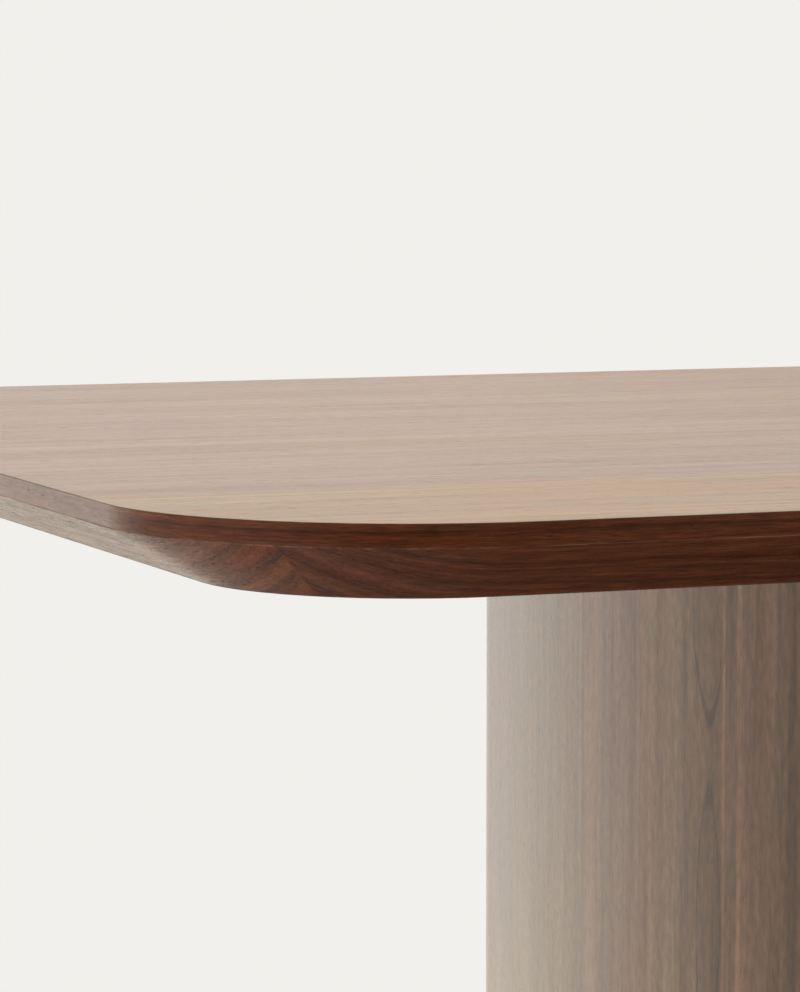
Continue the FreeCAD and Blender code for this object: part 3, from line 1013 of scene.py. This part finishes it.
def leg_wood(first):
    """The fourteen leaves round one pedestal: every fourth is crown cut, the rest are quarter cut."""
    wood = []
    for number in range(len(leg_leaf_shares)):
        count = number + first
        lightness = 1.0 + lightness_swing * math.sin(lightness_step * count)
        warmth = warmth_swing * math.sin(warmth_step * count)
        if number % crown_every == crown_first:
            wood.append(leaf(crown_pith, 0.0, count, lightness, warmth, curve=1.2, heart=0.017))
        else:
            pith = (quarter_across * (-1) ** number, quarter_depth, quarter_along)
            wood.append(leaf(pith, 0.012, count, lightness, warmth))

    # The first four follow the photograph
    wood[0] = leaf((-0.16, 0.03, 0.4), 0.010, first, 1.04, 0.006, rich=0.95)
    wood[1] = leaf((-0.15, 0.03, 0.4), 0.012, first + 1, 0.98, -0.003, streak=(-0.026, 0.013, 0.45),
                   rich=0.97)
    wood[2] = leaf((0.033, 0.01895, 0.572), 0.0, first + 2, 1.04, 0.004, curve=1.957, heart=0.018,
                   streak=(0.048, 0.0024, 0.45))
    wood[3] = leaf((0.165, 0.03, 0.4), 0.008, first + 9, 0.92, 0.0, streak=(-0.041, 0.0024, 0.45))
    return wood


# Sizes of the grain's features along, across and through it, and how strongly each shows
top_grain = {
    "streaks": (0.22, 0.0040, 0.02), "broad": (0.45, 0.045, 0.05), "mottle": (0.030, 0.008, 0.05),
    "fibres": (0.04, 0.0010, 0.004), "pores": (0.013, 0.0008, 0.002), "shares": (0.28, 0.42, 0.30),
    "lines": 0.45, "pore_depth": 0.8, "fibre_depth": 0.25, "mottle_depth": 0.08, "hue": 0.003,
}
leg_grain = {
    "streaks": (0.12, 0.0080, 0.02), "broad": (0.60, 0.026, 0.05), "mottle": (0.012, 0.005, 0.05),
    "fibres": (0.07, 0.0018, 0.004), "pores": (0.010, 0.0008, 0.002), "shares": (0.15, 0.30, 0.55),
    "lines": 0.4, "pore_depth": 0.5, "fibre_depth": 0.20, "mottle_depth": 0.20, "hue": 0.004,
}
band_grain = {
    "streaks": (0.045, 0.0013, 0.02), "broad": (0.16, 0.004, 0.05), "mottle": (0.020, 0.003, 0.05),
    "fibres": (0.012, 0.0006, 0.004), "pores": (0.008, 0.0005, 0.002), "shares": (0.15, 0.50, 0.35),
    "lines": 0.6, "pore_depth": 0.9, "fibre_depth": 0.9, "mottle_depth": 0.14, "hue": 0.004,
}
lipping_grain = {
    "streaks": (0.055, 0.0022, 0.0022), "broad": (0.25, 0.012, 0.012), "mottle": (0.03, 0.006, 0.006),
    "fibres": (0.018, 0.0009, 0.0009), "pores": (0.011, 0.0009, 0.0009), "shares": (0.42, 0.38, 0.20),
    "lines": 0.5, "pore_depth": 0.9, "fibre_depth": 0.9, "mottle_depth": 0.12, "hue": 0.003,
}

# Finishes
lipping_look = {
    "mean": (0.148, 0.0350, 0.0088), "grain": lipping_grain, "ring": 0.0070, "contrast": 0.65, "gloss": 0.25,
    "level": 0.06, "sheen": 0.12, "glow": (1.0, 0.78, 0.42), "spread": 0.3,
}
# The crest's lighter colour is a painted highlight along the rounded crest; its lacquer differs too
crest_highlight_look = {
    "mean": (0.230, 0.085, 0.036), "grain": lipping_grain, "ring": 0.0070, "gloss": 0.48, "level": 0.32,
    "sheen": 0.1,
}
top_walnut = walnut("walnut_face", "along table", (0.240, 0.106, 0.050), top_grain, ring=0.0060,
                    contrast=0.5, sheen=1.0, glow=(0.74, 0.560, 0.410))
edge_walnut_along = walnut("walnut_lipping_long", "along table", **lipping_look)
edge_walnut_across = walnut("walnut_lipping_short", "across table", **lipping_look)
crest_highlight_walnut_along = walnut("walnut_crest_highlight_long", "along table", **crest_highlight_look)
crest_highlight_walnut_across = walnut("walnut_crest_highlight_short", "across table", **crest_highlight_look)
band_walnut = walnut("walnut_band", "map", (0.205, 0.058, 0.020), band_grain, ring=0.0030, figure=0.25,
                     contrast=0.44, level=0.3, coat=0.45, sheen=0.2)
leg_walnut = walnut("walnut_leg", "map", (0.308, 0.143, 0.066), leg_grain, ring=0.0080, figure=0.5,
                    contrast=0.75, coat=1.0, sheen=1.0, glow=(0.90, 0.72, 0.56))
backing_walnut = walnut("walnut_backing", "along table", (0.150, 0.060, 0.030), top_grain, ring=0.0060,
                        gloss=0.6, sheen=0.0, leaf=plain_wood)

# Pieces
face_leaves(top_walnut, veneer_edge_material(), top_leaves)
edge_bands(band_walnut, band_leaves)
lippings(edge_walnut_along, edge_walnut_across, crest_highlight_walnut_along, crest_highlight_walnut_across, lipping_leaves)
leg_leaves(leg_walnut, {"left": leg_wood(41.0), "right": leg_wood(61.0)})

node_materials = {
    "fibreboard": fibreboard_material(),
    "birch_plywood": plywood_material(),
    "beech": beech_material(),
    "black_steel": steel_material(),
    "zinc_steel": zinc_material(),
    "nylon": nylon_material(),
    "walnut_top_veneer": backing_walnut,
    "walnut_edge": backing_walnut,
    "walnut_leg_veneer": backing_walnut,
    "walnut_backing_veneer": backing_walnut,
}
for part in frame["record"]["subparts"]:
    mesh = frame["nodes"][part["node"]].data
    mesh.materials.clear()
    mesh.materials.append(node_materials[part["material_slot"]])


# Studio

def camera():
    """The photograph's view of the table."""
    data = bpy.data.cameras.new("camera")
    data.sensor_width = sensor_width
    data.lens = sensor_width * focal_pixels / photo_height
    data.clip_start = nearest_shown
    data.clip_end = farthest_shown
    view = bpy.data.objects.new("camera", data)
    bpy.context.scene.collection.objects.link(view)
    view.location = camera_place
    view.rotation_euler = (math.pi / 2 - camera_dip, 0, camera_turn)
    bpy.context.scene.camera = view


def floor():
    """Pale floor that fades into the backdrop and is open from below; it shows paler than it lights."""
    deselect()
    bpy.ops.mesh.primitive_circle_add(vertices=floor_sides, radius=floor_radius, fill_type="NGON",
                                      location=(0, 0, -floor_gap))
    disc = named("studio_floor")
    settle()
    material = bpy.data.materials.new("floor_paint")
    material.use_nodes = True
    tree = material.node_tree
    tree.nodes.clear()
    place = add(tree, "TexCoord", {}).outputs["Object"]
    from_middle = add(tree, "VectorMath", {0: place}, operation="LENGTH").outputs["Value"]
    rays = add(tree, "LightPath", {}).outputs
    seen = larger(tree, rays["Is Camera Ray"], rays["Is Glossy Ray"])
    seen = larger(tree, seen, rays["Is Transmission Ray"])
    # Camera and mirror rays see the pale rim colour; the darker middle is painted shade for the light thrown
    # back
    near_rim = ease(tree, from_middle, floor_rim_start * floor_radius, floor_rim_full * floor_radius)
    grey = blend(tree, larger(tree, near_rim, seen), floor_painted_shade_colour, floor_rim_colour)
    paint = add(tree, "BsdfDiffuse", {"Color": grey}).outputs[0]
    clear = add(tree, "BsdfTransparent", {}).outputs[0]
    backfacing = add(tree, "NewGeometry", {}).outputs["Backfacing"]
    under = product(tree, rays["Is Camera Ray"], backfacing)
    faded = ease(tree, from_middle, floor_fade_start * floor_radius, floor_radius)
    shown = add(tree, "MixShader", {0: larger(tree, under, faded), 1: paint, 2: clear}).outputs[0]
    add(tree, "OutputMaterial", {"Surface": shown})
    disc.data.materials.append(material)


def studio_light():
    """Bright backdrop behind and to the left, dark behind the camera, and soft light from above."""
    world = bpy.data.worlds.new("studio")
    bpy.context.scene.world = world
    world.use_nodes = True
    tree = world.node_tree
    tree.nodes.clear()

    # Round the horizon, from behind the table to behind the camera
    x, y, z = add(tree, "SeparateXYZ", {0: add(tree, "TexCoord", {}).outputs["Generated"]}).outputs
    cosine = math.cos(backdrop_turn)
    sine = math.sin(backdrop_turn)
    side = total(tree, product(tree, x, cosine), product(tree, y, sine))
    back = difference(tree, product(tree, y, cosine), product(tree, x, sine))
    angle = reckon(tree, "ABSOLUTE", reckon(tree, "ARCTAN2", side, back))
    away = reckon(tree, "DIVIDE", angle, math.pi)
    horizon = ramp(tree, away, [(share, (level, level, level)) for share, level in backdrop_levels])

    # Warm wall to the left, warm sweep low behind, and white dome
    warmed = blend(tree, 1.0, horizon, warm_wall, "MULTIPLY")
    horizon = blend(tree, ease(tree, x, *warm_wall_start), horizon, warmed)
    behind = product(tree, ease(tree, z, *sweep_drop), ease(tree, y, *sweep_back))
    horizon = darken(tree, behind, horizon, warm_sweep)
    dome = blend(tree, ease(tree, z, *dome_rise), horizon, white)

    # The backdrop as it is seen, straight or mirrored
    rays = add(tree, "LightPath", {}).outputs
    through = larger(tree, rays["Is Camera Ray"], rays["Is Transmission Ray"])
    wall = blend(tree, rays["Is Glossy Ray"], studio_white, backdrop_colour)
    lit = blend(tree, 1.0, dome, wall, "MULTIPLY")
    colour = blend(tree, through, lit, backdrop_colour)
    background = add(tree, "Background", {"Color": colour, "Strength": 1.0}).outputs[0]
    add(tree, "OutputWorld", {"Surface": background})


def panel_lamp(name, length, width, energy, place, turn=0.0, spread=180):
    """Soft rectangular lamp that shines straight down, or up when turned over."""
    lamp = bpy.data.lights.new(name, "AREA")
    lamp.shape = "RECTANGLE"
    lamp.size = length
    lamp.size_y = width
    lamp.energy = energy
    lamp.spread = math.radians(spread)
    holder = bpy.data.objects.new(name, lamp)
    bpy.context.scene.collection.objects.link(holder)
    holder.location = place
    holder.rotation_euler = (turn, 0, 0)
    holder.visible_camera = False


camera()
floor()
studio_light()
panel_lamp("softbox", **softbox)
panel_lamp("floor_bounce", **floor_bounce)
bpy.context.scene.view_settings.view_transform = "Standard"
